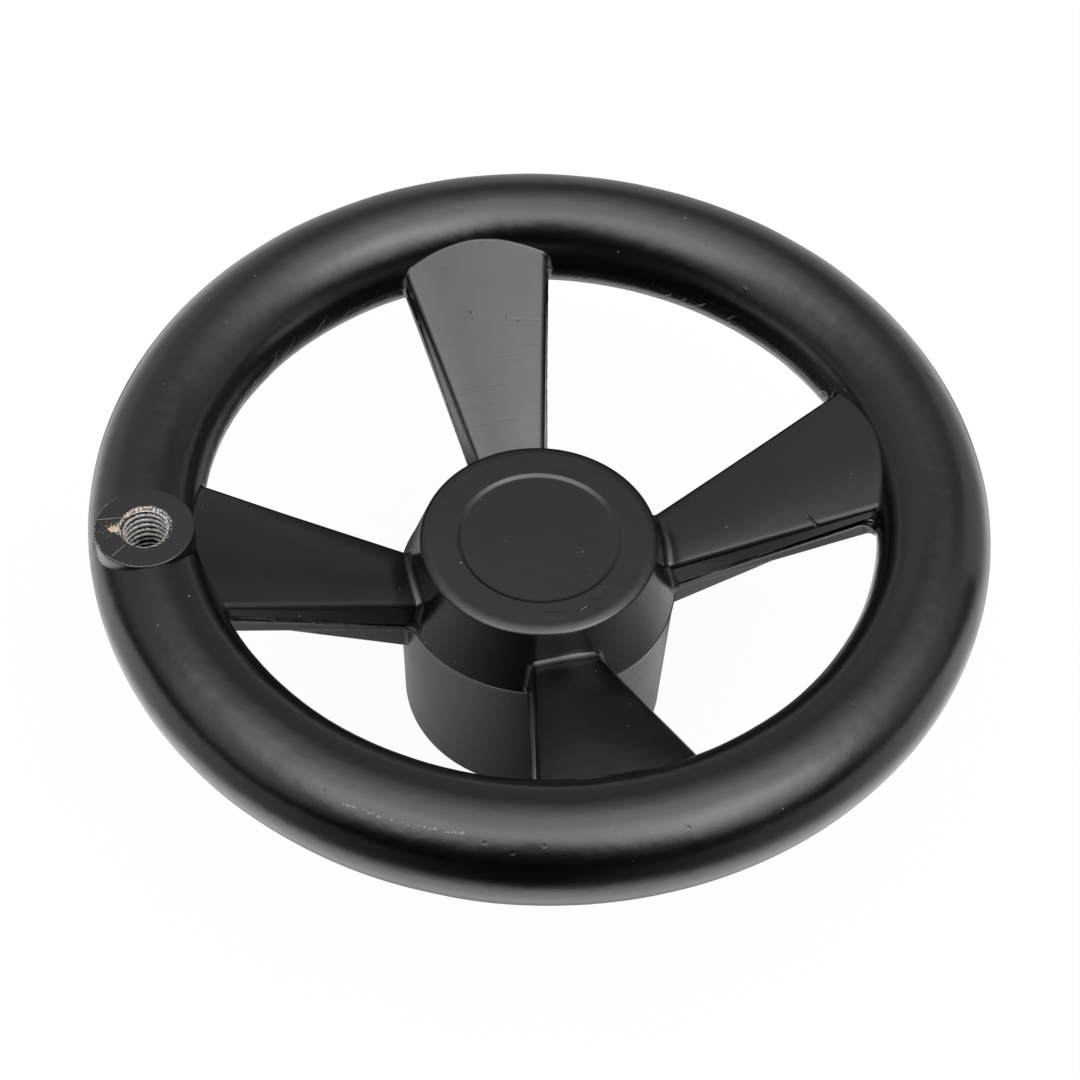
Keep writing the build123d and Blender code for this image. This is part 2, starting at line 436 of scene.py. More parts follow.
def rolled_fillet(meeting, own, other, radius):
    """The arc of a ball that rolls in the corner of two surfaces with normals own and other: its
    centre lies from the meeting point along the sum of the normals, and the arc runs from where
    the ball touches the other surface to where it touches the spoke."""
    cosine = (own * other).sum(-1, keepdims=True)
    centre = meeting + radius * (own + other) / (1 + cosine)
    angle = np.arccos(np.clip(cosine, -1, 1))
    step = np.linspace(0, 1, FILLET_ROWS)[:, None, None]
    arc = -other * np.sin((1 - step) * angle) - own * np.sin(step * angle)
    return centre + radius * arc / np.sin(angle)


def fillet_sizes(columns, above, side):
    """The fillet's radius at each column of a section: above the parting line, on the skirt's side,
    and underneath, with a soft change between them."""
    place = columns_from_crest(columns)
    sizes = np.where(place < SKIRT_COLUMN, above, np.where(place < UNDER_COLUMN, side, FILLET_BELOW))
    kernel = np.array([1, 2, 3, 2, 1]) / 9
    padded = np.concatenate([sizes[-2:], sizes, sizes[:2]])
    return np.convolve(padded, kernel, "valid")[:, None]


def settled_on_hub(arc):
    """The fillet at the hub, laid onto the hub's side at its first row, with its ledge brought down
    to the hub's own parting line. Both changes fade out towards the spoke."""
    fade = np.linspace(1, 0, FILLET_ROWS)
    off = hub_side(arc[0, :, 2]) / np.hypot(arc[0, :, 0], arc[0, :, 1]) - 1
    arc = arc + arc[0] * np.stack([off, off, off * 0], axis=-1) * (fade**2)[:, None, None]
    at_ledge = np.exp(-((columns_from_crest(arc.shape[1]) - LEDGE_COLUMN - 1) / 3.5) ** 2)
    height = arc[..., 2] - at_ledge * SPOKE_PARTING_RISE * (fade**1.5)[:, None]
    widened = 1 + (hub_side(height) / hub_side(arc[..., 2]) - 1) * fade[:, None]
    return np.stack([arc[..., 0] * widened, arc[..., 1] * widened, height], axis=-1)


def uneven_skin(points, raggedness, seed):
    """The spoke's points with a slight unevenness along their normals, and with a ragged ledge. It
    fades out at both ends."""
    along = points[..., 0] / 12.0
    lift = ripple(seed, 30, (9, 5), 0.016, along, points[..., 1] / 5)
    at_ledge = np.exp(-((columns_from_crest(points.shape[1]) - LEDGE_COLUMN) / 2.2) ** 2)
    lift += ripple(seed + 1, 60, (90, 0), raggedness, along, along * 0) * at_ledge
    ends = np.clip(np.arange(len(points)) / 4 - 0.5, 0, 1)
    return points + outward_normals(points) * (lift * (ends * ends[::-1])[:, None])[..., None]


def spoke_points(hub_side_fillet, rim_side_fillet, raggedness, seed):
    """One spoke on +X: its sections are joined by straight lines from the fillet at the hub to the
    fillet at the rim, and each fillet is an arc of a rolling ball. The last ring at each end lies
    under the surface that the spoke runs into."""
    x = np.linspace(19.0, 77.0, 700)
    outline = spoke_sections(x)
    columns = outline.shape[1]
    table = np.concatenate([np.repeat(x[:, None, None], columns, axis=1), outline], axis=-1)
    normals = outward_normals(table)
    axis_distance = np.hypot(table[..., 0], table[..., 1])
    off_hub = axis_distance - hub_side(table[..., 2])
    off_rim = ((axis_distance - RIM_CENTRE) / RIM_HALF_WIDTH) ** 2 + (
        (table[..., 2] - RIM_MID) / RIM_HALF_HEIGHT) ** 2 - 1
    at_hub, own_at_hub = crossing(off_hub, table, normals)
    at_rim, own_at_rim = crossing(off_rim, table, normals)
    of_hub, of_rim = hub_normals(at_hub), rim_normals(at_rim)
    hub_arc = settled_on_hub(rolled_fillet(at_hub, own_at_hub, of_hub,
                                           fillet_sizes(columns, HUB_FILLET_ABOVE, hub_side_fillet)))
    rim_arc = rolled_fillet(at_rim, own_at_rim, of_rim,
                            fillet_sizes(columns, RIM_FILLET_ABOVE, rim_side_fillet))[::-1]
    body = np.moveaxis(between(hub_arc[-1], rim_arc[0], 90, (False, False)), 1, 0)
    under_hub = hub_arc[:1] - of_hub * 0.8
    under_rim = rim_arc[-1:] - of_rim * 0.8
    points = np.concatenate([under_hub, hub_arc, body, rim_arc, under_rim])
    return uneven_skin(points, raggedness, seed)


# ---- Handle boss and tapped hole


def boss_points(columns=200):
    """The handle boss: a wall, a rounded edge and a flat face turned about the boss's axis, and
    the tapped hole, whose radius follows a ridge that climbs one pitch in each turn. The masks say
    how much of the paint is missing from the chipped lip and how far up a ridge each point is."""
    turn = np.linspace(0, 2 * np.pi, columns, endpoint=False)
    edge = rounding((BOSS, RIM_MID), (BOSS, BOSS_TOP), (0, BOSS_TOP), BOSS_ROUNDING, 7)
    mouth = rounding((BOSS, BOSS_TOP), (THREAD_MAJOR, BOSS_TOP), (THREAD_MAJOR, 0), MOUTH_ROUNDING, 4)
    hidden = [(3.0, 50.8), (5.9, 51.2), (BOSS, RIM_MID)]
    wall = between((BOSS, RIM_MID + 2), edge[0], 8, (True, False))
    face = between(edge[-1], mouth[0], 26, (False, False))
    rings = np.concatenate([hidden, wall, edge, face, mouth])
    depths = np.arange(0.15, HOLE_DEPTH, THREAD_PITCH / 18)[:, None]
    wave = (-depths / THREAD_PITCH - turn[None, :] / (2 * np.pi)) % 1.0
    ridge = np.clip(1.50 - 3.6 * np.abs(wave - 0.5), 0, 1)
    ridge = ridge * ridge * (3 - 2 * ridge)
    rough = ripple(23, 80, (40, 60), 0.035, turn[None, :] + depths * 0, depths * 2 * np.pi / HOLE_DEPTH)
    begin = np.clip((depths - 0.1) / 0.5, 0, 1)
    threaded = THREAD_MAJOR - (THREAD_MAJOR - THREAD_MINOR) * ridge * begin + rough * begin
    radius = np.concatenate([np.repeat(rings[:, :1], columns, axis=1), threaded,
                             np.full((2, columns), THREAD_MINOR) * [[1.0], [0.3]]])
    height = np.concatenate([np.repeat(rings[:, 1:], columns, axis=1),
                             np.repeat(BOSS_TOP - depths, columns, axis=1),
                             np.full((2, columns), BOSS_TOP - HOLE_DEPTH) - [[0.0], [1.8]]])
    # The boss's wall keeps its own centre, and the hole has another.
    inner = np.clip((BOSS - radius) / 3.5, 0, 1)[..., None]
    points = round_axis(radius, turn, height)
    points[..., :2] += BOSS_AT + np.subtract(HOLE_AT, BOSS_AT) * inner
    edge_row, head = len(hidden) + len(wall), len(rings)
    crest = np.zeros_like(radius)
    crest[head:-2] = np.maximum(ridge * begin, 1 - depths / 0.7)
    crest[head - len(mouth):head] = 0.5
    angle = np.abs(turned_from(turn[None, :], 174))
    reach = radius - THREAD_MAJOR
    wedge = np.clip(1.2 - angle / (radians(21) * np.clip(1 - reach / 2.3, 0.02, 1)), 0, 1)
    specks = 0.42 * np.clip(1 - reach / 4.4, 0, 1) * np.clip(1.4 - angle / radians(15), 0, 1)
    lip = 0.75 * np.clip(1 - reach / 0.28, 0, 1)
    chipped = np.maximum(np.maximum(wedge, specks), lip)
    chipped[:edge_row] = 0
    rubbed = np.clip(1.1 - np.abs(turned_from(turn, 190)) / radians(75), 0, 0.36)
    chipped[edge_row + 4:edge_row + 6] = rubbed
    chipped[head:] = 0
    return points, crest, chipped


# ---- Node helpers


def put(tree, target, source):
    """Sets a socket to a number, a vector or a link."""
    if hasattr(source, "is_output"):
        tree.links.new(source, target)
    else:
        target.default_value = source


def node(tree, kind, settings=None, **inputs):
    made = tree.nodes.new("ShaderNode" + kind)
    for key, setting in (settings or {}).items():
        setattr(made, key, setting)
    for key, source in inputs.items():
        put(tree, made.inputs[key.replace("_", " ")], source)
    return made


def maths(tree, operation, *sources):
    made = node(tree, "Math", {"operation": operation})
    for socket, source in zip(made.inputs, sources):
        put(tree, socket, source)
    return made.outputs[0]


def times(tree, first, second, plus=None):
    """The product of two sources, with a third added if there is one."""
    if plus is None:
        return maths(tree, "MULTIPLY", first, second)
    return maths(tree, "MULTIPLY_ADD", first, second, plus)


def scaled(tree, vector, size):
    return node(tree, "VectorMath", {"operation": "SCALE"}, Vector=vector, Scale=size).outputs[0]


def vector_maths(tree, operation, first, second=None):
    made = node(tree, "VectorMath", {"operation": operation})
    put(tree, made.inputs[0], first)
    if second is not None:
        put(tree, made.inputs[1], second)
    return made.outputs["Value" if operation in ("LENGTH", "DISTANCE", "DOT_PRODUCT") else "Vector"]


def dot(tree, first, second):
    return vector_maths(tree, "DOT_PRODUCT", first, second)


def ramp(tree, source, low, high, bottom=0.0, top=1.0):
    """A smooth step from bottom to top as the source goes from low to high."""
    made = node(tree, "MapRange", {"interpolation_type": "SMOOTHSTEP"}, Value=source, From_Min=low,
                From_Max=high, To_Min=bottom, To_Max=top)
    return made.outputs["Result"]


def noise(tree, where, scale, detail=2.0, roughness=0.5):
    made = node(tree, "TexNoise", Vector=where, Scale=scale, Detail=detail, Roughness=roughness)
    return made.outputs["Fac"]


def new_group(name, inputs, outputs):
    """A node group with the named inputs, each with its value, and the named outputs."""
    tree = bpy.data.node_groups.new(name, "ShaderNodeTree")
    for label, start in inputs.items():
        kind = "NodeSocketVector" if isinstance(start, tuple) else "NodeSocketFloat"
        tree.interface.new_socket(label, in_out="INPUT", socket_type=kind).default_value = start
    for label in outputs:
        tree.interface.new_socket(label, in_out="OUTPUT", socket_type="NodeSocketFloat")
    return tree, tree.nodes.new("NodeGroupInput").outputs, tree.nodes.new("NodeGroupOutput").inputs


def use(tree, group, **inputs):
    made = tree.nodes.new("ShaderNodeGroup")
    made.node_tree = group
    for label, source in inputs.items():
        put(tree, made.inputs[label.replace("_", " ")], source)
    return made.outputs


def mixed(tree, share, first, second):
    """Two shaders mixed: none of the second at a share of zero."""
    made = node(tree, "MixShader")
    for socket, source in zip(made.inputs, (share, first, second)):
        put(tree, socket, source)
    return made.outputs[0]


def mixed_colours(tree, share, first, second):
    made = node(tree, "Mix", {"data_type": "RGBA"})
    for number, source in ((0, share), (6, first), (7, second)):
        put(tree, made.inputs[number], source)
    return made.outputs[2]


# ---- Effects that several finishes share, with heights in metres

ZEROS = (0.0, 0.0, 0.0)


def specks_in_cells(tree, where, bend, cells, share, size, edge):
    """Round specks in a share of the cells of a cell pattern. Bend is the scale and the reach of a
    noise that makes them uneven, size the spread and the least of their sizes, and edge says where
    they fall off. The second output is a random number for each cell."""
    scale, reach = bend
    warp = node(tree, "TexNoise", Vector=where, Scale=scale, Detail=1.0).outputs["Color"]
    where = vector_maths(tree, "ADD", where, scaled(tree, warp, reach))
    cell = node(tree, "TexVoronoi", Vector=where, Scale=cells)
    chance = node(tree, "SeparateXYZ", Vector=cell.outputs["Color"]).outputs
    chosen = maths(tree, "LESS_THAN", chance["X"], share)
    size = times(tree, chance["Y"], *size)
    speck = ramp(tree, maths(tree, "DIVIDE", cell.outputs["Distance"], size), *edge)
    return times(tree, speck, chosen), chance["Z"]


def paint_skin_group():
    """Sprayed paint: orange peel as two noises, with dents and nibs as bells."""
    tree, given, result = new_group("paint_skin", {
        "Position": ZEROS, "Peel": 0.000002, "Dents": 0.2, "Nibs": 0.2}, ("Height", "Smudge"))
    where = given["Position"]
    fine = maths(tree, "SUBTRACT", noise(tree, where, 1100.0, 1.5), 0.5)
    coarse = maths(tree, "SUBTRACT", noise(tree, where, 260.0, 1.0), 0.5)
    height = times(tree, times(tree, coarse, 3.0, fine), given["Peel"])
    for label, offset, cells, depth in (("Dents", 0.0, 125.0, -0.00005), ("Nibs", 0.31, 155.0, 0.00004)):
        moved = vector_maths(tree, "ADD", where, (offset, offset, offset))
        bell, _ = specks_in_cells(tree, moved, (900.0, 0.0004), cells, given[label], (0.05, 0.03),
                                  (1.0, 0.0))
        height = times(tree, bell, depth, height)
    put(tree, result["Height"], height)
    put(tree, result["Smudge"], ramp(tree, noise(tree, where, 38.0, 4.0, 0.6), 0.35, 0.68))
    return tree


def dust_group():
    """Dust: small uneven specks, some paler than others."""
    tree, given, result = new_group("dust", {"Position": ZEROS, "Amount": 0.3}, ("Mask",))
    specks, chance = specks_in_cells(tree, given["Position"], (3000.0, 0.00022), 270.0, given["Amount"],
                                     (0.030, 0.020), (1.1, 0.6))
    put(tree, result["Mask"], times(tree, specks, times(tree, chance, 0.7, 0.3)))
    return tree


def sanding_group():
    """Sanding or filing marks: a noise on coordinates stretched along the marks, with a few deeper
    scratches where a second noise is highest."""
    tree, given, result = new_group("sanding", {"Stretched": ZEROS, "Depth": 0.000004}, ("Height",))
    lines = noise(tree, given["Stretched"], 1.0, 3.0, 0.6)
    deeper = ramp(tree, noise(tree, given["Stretched"], 0.45, 1.0), 0.66, 0.74)
    put(tree, result["Height"], times(tree, times(tree, deeper, -1.5, lines), given["Depth"]))
    return tree


def mark_group(name, is_scratch):
    """A round spot about Start, or a scratch along the line from Start to End, in millimetres. Its
    mask falls off at Width from the nearest point, and Noise breaks it."""
    inputs = {"Position": ZEROS, "Noise": 0.5, "Start": ZEROS, "Width": 0.2}
    if is_scratch:
        inputs.update({"End": ZEROS, "Breaks": 0.8})
    tree, given, result = new_group(name, inputs, ("Mask",))
    breaks = 0.8
    away = vector_maths(tree, "DISTANCE", given["Position"], given["Start"])
    if is_scratch:
        breaks = given["Breaks"]
        line = vector_maths(tree, "SUBTRACT", given["End"], given["Start"])
        reach = vector_maths(tree, "SUBTRACT", given["Position"], given["Start"])
        length = dot(tree, line, line)
        share = maths(tree, "DIVIDE", dot(tree, reach, line), length)
        share = maths(tree, "MINIMUM", maths(tree, "MAXIMUM", share, 0.0), 1.0)
        away = vector_maths(tree, "DISTANCE", reach, scaled(tree, line, share))
    away = times(tree, given["Noise"], breaks, maths(tree, "DIVIDE", away, given["Width"]))
    put(tree, result["Mask"], ramp(tree, away, 1.25, 0.75))
    return tree


paint_skin, dust, sanding = paint_skin_group(), dust_group(), sanding_group()
spot, scratch = mark_group("spot", False), mark_group("scratch", True)

# ---- Finishes

PAINT = (0.0009, 0.0009, 0.0010, 1)
DUST = (0.50, 0.49, 0.47, 1)
BARE_METAL = (0.78, 0.76, 0.74, 1)
CHIPPED_EDGE = (0.80, 0.66, 0.53, 1)


def empty_material(name):
    """A new material without nodes, and its object coordinates."""
    material = bpy.data.materials.new(name)
    material.use_nodes = True
    tree = material.node_tree
    tree.nodes.clear()
    return material, tree, node(tree, "TexCoord").outputs["Object"]


def show(tree, shader, kind="Material"):
    """Makes a shader the whole tree's result."""
    put(tree, node(tree, "Output" + kind).inputs["Surface"], shader)


def finished(tree, colour, height, roughness, **more):
    """The shader of a glossy finish with the given relief."""
    bump = node(tree, "Bump", Height=height, Strength=1.0, Distance=1.0).outputs[0]
    shader = node(tree, "BsdfPrincipled", Base_Color=colour, Roughness=roughness, Normal=bump,
                  Specular_IOR_Level=1.0, **more)
    show(tree, shader.outputs["BSDF"])


# Marks by finish, in millimetres: a spot's centre or a scratch's two ends, width, height and how
# pale the mark is. The last number of a scratch says how broken it is.
SPOTS = {
    "hub": (((-17.0, -3.6, 50.6), 0.22, 0, 0.9),),
    "rim": (((-54.4, -64.6, 70.9), 0.6, -0.035, 0), ((-28.1, -80.7, 70.2), 0.6, -0.035, 0),
            ((-23.5, -83.1, 69.3), 0.6, -0.035, 0), ((-17.8, -83.4, 70.3), 0.6, -0.035, 0),
            ((8.1, -84.8, 70.4), 0.65, -0.045, 0), ((15.6, -88.4, 58.4), 0.55, -0.05, 0),
            ((44.1, -66.3, 72.4), 0.6, -0.035, 0), ((53.7, 44.3, 67.6), 0.8, 0.1, 0),
            ((-72.3, -17.5, 71.6), 0.22, 0, 0.9), ((-78.9, -23.4, 71.9), 0.18, 0, 0.8)),
    "spoke": (((1.5, 68.6, 67.1), 0.42, -0.1, 0), ((-6.9, 64.7, 64.6), 0.36, -0.1, 0),
              ((-0.3, 57.0, 60.8), 0.36, -0.1, 0), ((-3.4, 55.5, 59.9), 0.46, -0.12, 0),
              ((-3.2, 54.3, 59.2), 0.36, -0.1, 0), ((4.1, 53.7, 58.8), 0.3, -0.08, 0),
              ((6.5, 52.7, 58.0), 0.3, -0.08, 0), ((-26.6, -7.5, 39.5), 0.9, 0.05, 0.06)),
}
SCRATCHES = {
    "boss": (((-82.7, 2.9, 72.75), (-87.5, 3.2, 72.75), 0.1, 0, 0.35, 0.8),
             ((-82.7, -3.9, 72.75), (-85.4, -6.1, 72.75), 0.1, 0, 0.3, 0.8)),
    "hub": (((4.2, -19.7, 50.6), (5.6, -19.0, 50.6), 0.13, 0, 0.3, 0.8),
            ((-21.1, -18.4, 38.3), (-20.1, -20.2, 30.0), 0.2, -0.05, 0.1, 0.8),
            ((-13.0, -25.3, 28.8), (-11.6, -26.1, 32.5), 0.18, -0.04, 0.12, 0.8),
            ((17.0, -22.9, 29.0), (15.2, -24.0, 25.6), 0.18, -0.04, 0.12, 0.8),
            ((8.0, -17.0, 50.6), (10.0, -15.8, 50.6), 1.5, -0.03, 0, 0.8),
            ((-3.0, -19.6, 50.6), (0.5, -20.2, 50.6), 1.2, 0.025, 0, 0.8)),
    "rim": (((-51.2, -68.0, 70.4), (-46.2, -71.4, 70.5), 1.05, 0.03, 0.42, 2.0),
            ((-46.2, -71.4, 70.5), (-40.5, -74.7, 70.5), 1.05, 0.03, 0.42, 2.0),
            ((-40.5, -74.7, 70.5), (-31.6, -78.5, 70.8), 1.05, 0.03, 0.42, 2.0)),
    "spoke": (((-29.0, -0.5, 44.9), (-29.7, -4.0, 45.3), 0.45, 0.07, 0, 0.8),
              ((-33.1, -8.8, 38.3), (-32.5, -8.7, 37.3), 0.45, -0.12, 0, 0.8),
              ((-63.0, -15.1, 59.0), (-58.1, -14.1, 56.4), 0.35, -0.1, 0.08, 0.8),
              ((53.4, -10.6, 57.5), (54.3, -12.6, 57.4), 0.55, -0.3, 0, 0.8)),
}


def marked(tree, where, name, pale, height):
    """Adds the marks of one finish to its pale mask and to its height."""
    given = {"Position": scaled(tree, where, 1000.0),
             "Noise": noise(tree, where, 1500.0, 1.0)}
    marks = [(spot, {"Start": at}, *rest) for at, *rest in SPOTS.get(name, ())]
    marks += [(scratch, {"Start": start, "End": end, "Breaks": breaks}, *rest)
              for start, end, *rest, breaks in SCRATCHES[name]]
    for group, shape, width, lift, paleness in marks:
        mask = use(tree, group, Width=width, **given, **shape)["Mask"]
        if paleness:
            pale = maths(tree, "MAXIMUM", pale, times(tree, mask, paleness))
        if lift:
            height = times(tree, mask, 0.001 * lift, height)
    return pale, height


def round_the_rim(tree, where):
    """Coordinates for marks that cross the rim's inner flank aslant: one along the rim and one
    upwards, turned by the marks' slope and stretched along them."""
    parts = node(tree, "SeparateXYZ", Vector=where).outputs
    along = times(tree, maths(tree, "ARCTAN2", parts["Y"], parts["X"]), 0.001 * RIM_INNER)
    flat = node(tree, "CombineXYZ", X=along, Y=parts["Z"]).outputs[0]
    return node(tree, "Mapping", {"vector_type": "TEXTURE"}, Vector=flat, Rotation=(0, 0, radians(-52)),
                Scale=(1 / 150, 1 / 1300, 1)).outputs[0]


def mask_named(tree, name):
    return node(tree, "Attribute", {"attribute_name": name}).outputs["Fac"]


def black_paint(name, peel, dents, nibs, specks, marks, masked, stretch=None):
    """Satin black paint: nearly black, with its gloss varied by smudges. The marks are grinding or
    sanding under the paint where the named mask is: round the rim, or stretched as given."""
    material, tree, where = empty_material(name)
    skin = use(tree, paint_skin, Position=where, Peel=peel, Dents=dents, Nibs=nibs)
    specks = use(tree, dust, Position=where, Amount=specks)["Mask"]
    if stretch:
        mapped = node(tree, "Mapping", Vector=where, Scale=stretch).outputs[0]
    else:
        mapped = round_the_rim(tree, where)
    filed = use(tree, sanding, Stretched=mapped, Depth=marks)["Height"]
    height = times(tree, filed, mask_named(tree, masked), skin["Height"])
    height = times(tree, specks, 0.00003, height)
    specks, height = marked(tree, where, name.split("_")[0], specks, height)
    gloss = times(tree, skin["Smudge"], 0.06, 0.22)
    finished(tree, mixed_colours(tree, specks, PAINT, DUST), height, times(tree, specks, 0.5, gloss))
    return material


def boss_finish():
    """The boss's black paint, broken on the chipped lip and worn off the thread's ridges: the bare
    metal shows where a fine noise is below the chipped mask or the ridge mask. One blot of paint
    is left on the thread."""
    material, tree, where = empty_material("boss_paint_and_thread")
    skin = use(tree, paint_skin, Position=where, Peel=0.0000012, Dents=0.1, Nibs=0.1)
    specks = use(tree, dust, Position=where, Amount=0.3)["Mask"]
    fine = noise(tree, where, 2600.0, 2.5, 0.7)
    spread = ramp(tree, fine, 0.3, 0.7)
    crest, chipped = mask_named(tree, "crest"), mask_named(tree, "chipped")
    held = times(tree, spread, 0.85, 0.56)
    worn = ramp(tree, maths(tree, "SUBTRACT", times(tree, crest, 1.55), held), 0.0, 0.12)
    flaked = ramp(tree, maths(tree, "SUBTRACT", chipped, spread), 0.0, 0.12)
    lumps = node(tree, "TexNoise", Vector=where, Scale=900.0).outputs["Color"]
    blot = vector_maths(tree, "ADD", where, scaled(tree, lumps, 0.0016))
    blot = vector_maths(tree, "DISTANCE", blot, (-0.0776, 0.0052, 0.0630))
    worn = times(tree, worn, ramp(tree, blot, 0.0020, 0.0024))
    bare = maths(tree, "MAXIMUM", worn, flaked)
    height = times(tree, times(tree, fine, bare), 0.00020, skin["Height"])
    height = times(tree, bare, -0.00002, height)
    specks, height = marked(tree, where, "boss", specks, height)
    tinted = ramp(tree, maths(tree, "MAXIMUM", flaked, noise(tree, where, 300.0)), 0.45, 0.8)
    metal = mixed_colours(tree, tinted, BARE_METAL, CHIPPED_EDGE)
    colour = mixed_colours(tree, maths(tree, "MAXIMUM", bare, specks), PAINT, metal)
    finished(tree, colour, height, times(tree, bare, 0.3, 0.28), Metallic=times(tree, bare, 0.6))
    return material


rim_paint = black_paint("rim_paint", 0.000018, 0.14, 0.12, 0.4, 0.00008, "ground")
hub_paint = black_paint("hub_paint", 0.000008, 0.12, 0.08, 0.4, 0.000016, "sanded", (60, 60, 3200))
spoke_paint = black_paint("spoke_paint", 0.000008, 0.2, 0.06, 0.5, 0.000016, "brushed", (110, 2400, 110))


def dress(piece, material):
    """Gives a piece its finish and lets it ride with the wheel in the solid's place."""
    piece.data.materials.append(material)
    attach(piece, "root")
    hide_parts("handwheel")


rim_grid, ground = rim_points()
rim = closed_surface("rim", rim_grid, None, None, ground=ground)
hub_grid, sanded = hub_points()
hub = closed_surface("hub", hub_grid, (0, 0, BORE_DEPTH), (0, 0, HUB_HEIGHT - RECESS_DEPTH), 35,
                     sanded=sanded)
spokes = []
# Where each spoke lies, the fillets of its sides at the hub and the rim, how ragged its ledge is
# and the seed of its unevenness
for name, angle, hub_fillet, rim_fillet, raggedness, seed in (
        ("right", 0, 2.0, 2.8, 0.05, 31), ("far", 90, 1.8, 1.4, 0.05, 33),
        ("left", 180, 3.2, 1.2, 0.12, 35), ("near", 270, 1.6, 1.3, 0.05, 37)):
    grid = turned_about_z(spoke_points(hub_fillet, rim_fillet, raggedness, seed), angle)
    inner_tip, outer_tip = turned_about_z(np.array([(22.0, 0, 36), (76.0, 0, 61)]), angle)
    # Only the far spoke shows the strokes of a brush across it, fading towards the rim.
    brushed = (name == "far") * np.clip((72 - grid[..., 1]) / 40, 0, 1)
    spokes.append(closed_surface(f"spoke_{name}", grid, inner_tip, outer_tip, 35, brushed=brushed))
boss_grid, crest, chipped = boss_points()
drill_tip = (*HOLE_AT, BOSS_TOP - HOLE_DEPTH - DRILL_POINT)
boss = closed_surface("handle_boss", boss_grid, (*BOSS_AT, 50.7), drill_tip, 35, crest=crest,
                      chipped=chipped)
dress(rim, rim_paint)
dress(hub, hub_paint)
for spoke in spokes:
    dress(spoke, spoke_paint)
dress(boss, boss_finish())

# ---- Camera, floor and light

camera_data = bpy.data.cameras.new("camera")
camera_data.sensor_width = 36.0
camera_data.lens = 85.27
camera = add_object("camera", camera_data)
camera.location = (-0.08140096, -0.3125031, 0.4602944)
camera.rotation_euler = [radians(angle) for angle in (38.13754, -1.84506, -12.27647)]
bpy.context.scene.camera = camera

# The camera's own side, as an angle round the wheel's axis
VIEW_AZIMUTH = radians(-104.6)

# The low screen: its size in metres, how far it goes to either side of the far direction in
# degrees, and the places along its edge
SCREEN_RADIUS, SCREEN_HEIGHT = 0.115, 0.088
SCREEN_SPREAD = 92
SCREEN_PLACES = 97

# Soft patches of light: degrees to the right of the camera's own side, degrees above the horizon,
# the angles at which each is full and gone, its strength and its tint.
COOL, PLAIN, WARM = (0.98, 1.0, 1.02), (1.0, 1.0, 1.0), (1.04, 0.99, 0.97)
PATCHES = (
    (72, 79, 14, 53, 0.87, COOL), (54, 72, 15, 36, 0.82, COOL), (39, 56, 13, 26, 0.74, COOL),
    (56, 41, 2, 28, 1.67, PLAIN), (-37, 53, 2, 27, 1.78, PLAIN), (-62, 35, 5, 33, 0.59, PLAIN),
    (-91, 62, 3, 20, 0.71, PLAIN), (168, 4, 26, 60, 0.26, WARM), (98, 30, 3, 34, 0.43, WARM),
    (-118, 42, 14, 48, 0.39, WARM),
)


def heading(side, height):
    """The direction so many degrees to the right of the camera's side and above the horizon."""
    angle, rise = VIEW_AZIMUTH + radians(side), radians(height)
    return cos(angle) * cos(rise), sin(angle) * cos(rise), sin(rise)


def studio_world():
    """The soft patches added up, each a smooth step of the cosine of the angle to its middle, down
    to the horizon. The camera sees plain white."""
    world = bpy.data.worlds.new("studio")
    bpy.context.scene.world = world
    world.use_nodes = True
    tree = world.node_tree
    tree.nodes.clear()
    where = node(tree, "TexCoord").outputs["Generated"]
    total = ZEROS
    for side, height, full, gone, strength, tint in PATCHES:
        facing = dot(tree, where, heading(side, height))
        level = ramp(tree, facing, cos(radians(gone)), cos(radians(full)), 0.0, strength)
        total = vector_maths(tree, "ADD", total, scaled(tree, tint, level))
    rise = node(tree, "SeparateXYZ", Vector=where).outputs["Z"]
    total = scaled(tree, total, ramp(tree, rise, -0.05, 0.0))
    light = node(tree, "Background", Color=total).outputs[0]
    white = node(tree, "Background", Color=(1, 1, 1, 1)).outputs[0]
    path = node(tree, "LightPath").outputs
    show(tree, mixed(tree, path["Is Camera Ray"], light, white), "World")


def stage_object(name, corners, faces, material):
    """A mesh of the studio, in metres."""
    mesh = bpy.data.meshes.new(name)
    mesh.from_pydata(corners, [], faces)
    mesh.materials.append(material)
    add_object(name, mesh)


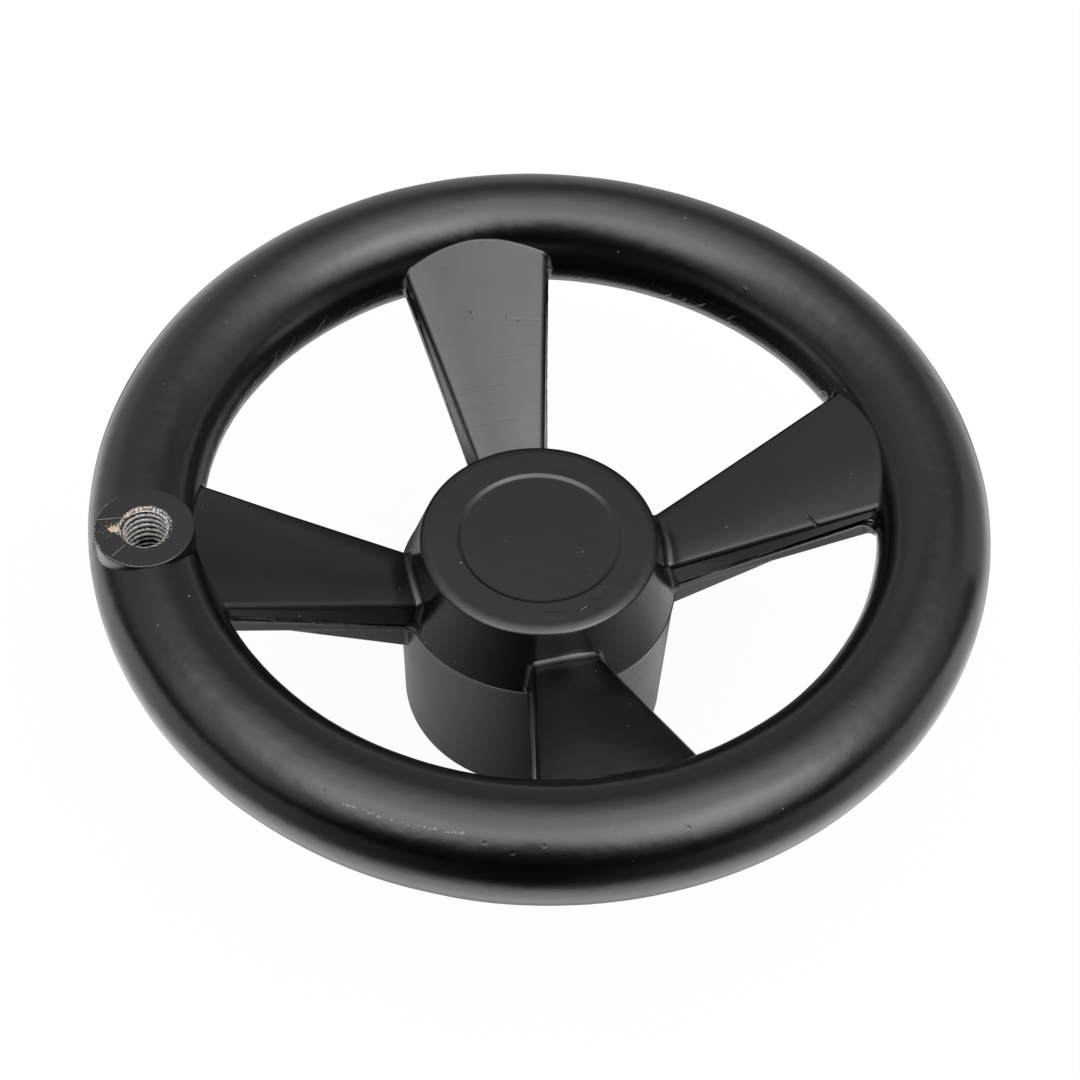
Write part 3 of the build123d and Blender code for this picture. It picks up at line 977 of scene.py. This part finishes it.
def studio_floor():
    """A pale floor that the wheel stands on. For the paint's reflections alone it glows with painted
    light: a painted pool of light round the front, painted patches of light in the windows between
    the spokes, a painted shadow close in front of the wheel, and darker elsewhere. Other rays than
    those and the camera's meet a dark matt floor."""
    material, tree, where = empty_material("white_floor_painted_glow")
    towards = dot(tree, where, heading(0, 0))
    sideways = dot(tree, where, heading(90, 0))
    away = vector_maths(tree, "LENGTH", where)
    # A painted pool of light, which darkens away from the camera and close to the wheel
    beside = maths(tree, "SUBTRACT", 1.0, maths(tree, "DIVIDE", towards, away))
    around = times(tree, maths(tree, "MINIMUM", beside, 1.1), ramp(tree, away, 0.10, 0.20, 0.60, 0.90))
    steep = ramp(tree, node(tree, "LayerWeight", Blend=0.5).outputs["Facing"], 0.50, 0.22)
    painted_light_apron = times(tree, maths(tree, "SUBTRACT", 1.35, around), steep, around)
    painted_light_apron = times(tree, painted_light_apron, ramp(tree, towards, -0.14, -0.02, 0.12))
    # A painted shadow of the rim, darker close in front of the wheel
    painted_rim_shadow = maths(tree, "MAXIMUM", ramp(tree, away, 0.078, 0.105, 0.35), ramp(tree, towards, 0.03, 0.0))
    painted_light_apron = times(tree, painted_light_apron, painted_rim_shadow)
    # Painted patches of light in the windows, to the left and to the right
    painted_gleams = maths(tree, "ADD", ramp(tree, sideways, 0.020, -0.045, 0.0, 0.5),
                   ramp(tree, sideways, 0.008, 0.044, 0.0, 0.72))
    painted_gleams = times(tree, painted_gleams, ramp(tree, towards, -0.024, -0.002, 0.12))
    middle = scaled(tree, heading(-90, 0), 0.008)
    inside = ramp(tree, vector_maths(tree, "DISTANCE", where, middle), 0.076, 0.060)
    glow = times(tree, maths(tree, "SUBTRACT", painted_gleams, painted_light_apron), inside, painted_light_apron)
    path = node(tree, "LightPath").outputs
    # Only reflected rays see the floor glow with this painted light.
    unseen = node(tree, "AddShader")
    mirrored = node(tree, "Emission", Strength=times(tree, glow, path["Is Glossy Ray"]))
    put(tree, unseen.inputs[0], mirrored.outputs[0])
    put(tree, unseen.inputs[1], node(tree, "BsdfDiffuse", Color=(0.02, 0.02, 0.02, 1)).outputs[0])
    pale = node(tree, "BsdfDiffuse", Color=(0.9, 0.9, 0.9, 1)).outputs[0]
    white = node(tree, "Emission", Strength=1.0).outputs[0]
    # The matt part keeps a faint shadow on what the camera sees.
    seen = mixed(tree, 0.96, pale, white)
    show(tree, mixed(tree, path["Is Camera Ray"], unseen.outputs[0], seen))
    stage_object("floor", [(-3, -3, 0), (3, -3, 0), (3, 3, 0), (-3, 3, 0)], [(0, 1, 2, 3)], material)


def low_screen():
    """A low screen close round the wheel's far half, which glows but lights nothing. Only the paint
    mirrors it, as a painted reflection: the light edge of the rim's outline there. Its lower part is
    brighter at the sides than behind, and its foot rises behind."""
    material, tree, where = empty_material("screen_painted_reflection")
    rise = node(tree, "SeparateXYZ", Vector=where).outputs["Z"]
    backwards = dot(tree, where, heading(180, 0))
    behind = maths(tree, "DIVIDE", backwards, SCREEN_RADIUS)
    foot = times(tree, ramp(tree, behind, 0.0, 0.5), -0.045, rise)
    lower = ramp(tree, times(tree, behind, -0.028, rise), 0.060, 0.042)
    level = times(tree, ramp(tree, behind, 0.60, 0.95, 0.65, 0.08), lower, 0.50)
    level = times(tree, level, ramp(tree, foot, -0.005, 0.005))
    # The screen's painted glow, which only reflected rays meet
    glow = node(tree, "Emission", Strength=level).outputs[0]
    clear = node(tree, "BsdfTransparent").outputs[0]
    path = node(tree, "LightPath").outputs
    show(tree, mixed(tree, path["Is Glossy Ray"], clear, glow))
    angles = VIEW_AZIMUTH + np.radians(180 + np.linspace(-SCREEN_SPREAD, SCREEN_SPREAD, SCREEN_PLACES))
    corners = [round_axis(SCREEN_RADIUS, angles, angles * 0 + height) for height in (0.0, SCREEN_HEIGHT)]
    faces = [(i, i + 1, i + 1 + SCREEN_PLACES, i + SCREEN_PLACES) for i in range(SCREEN_PLACES - 1)]
    stage_object("low_screen", np.concatenate(corners).tolist(), faces, material)


studio_world()
studio_floor()
low_screen()
bpy.context.scene.view_settings.view_transform = "Standard"
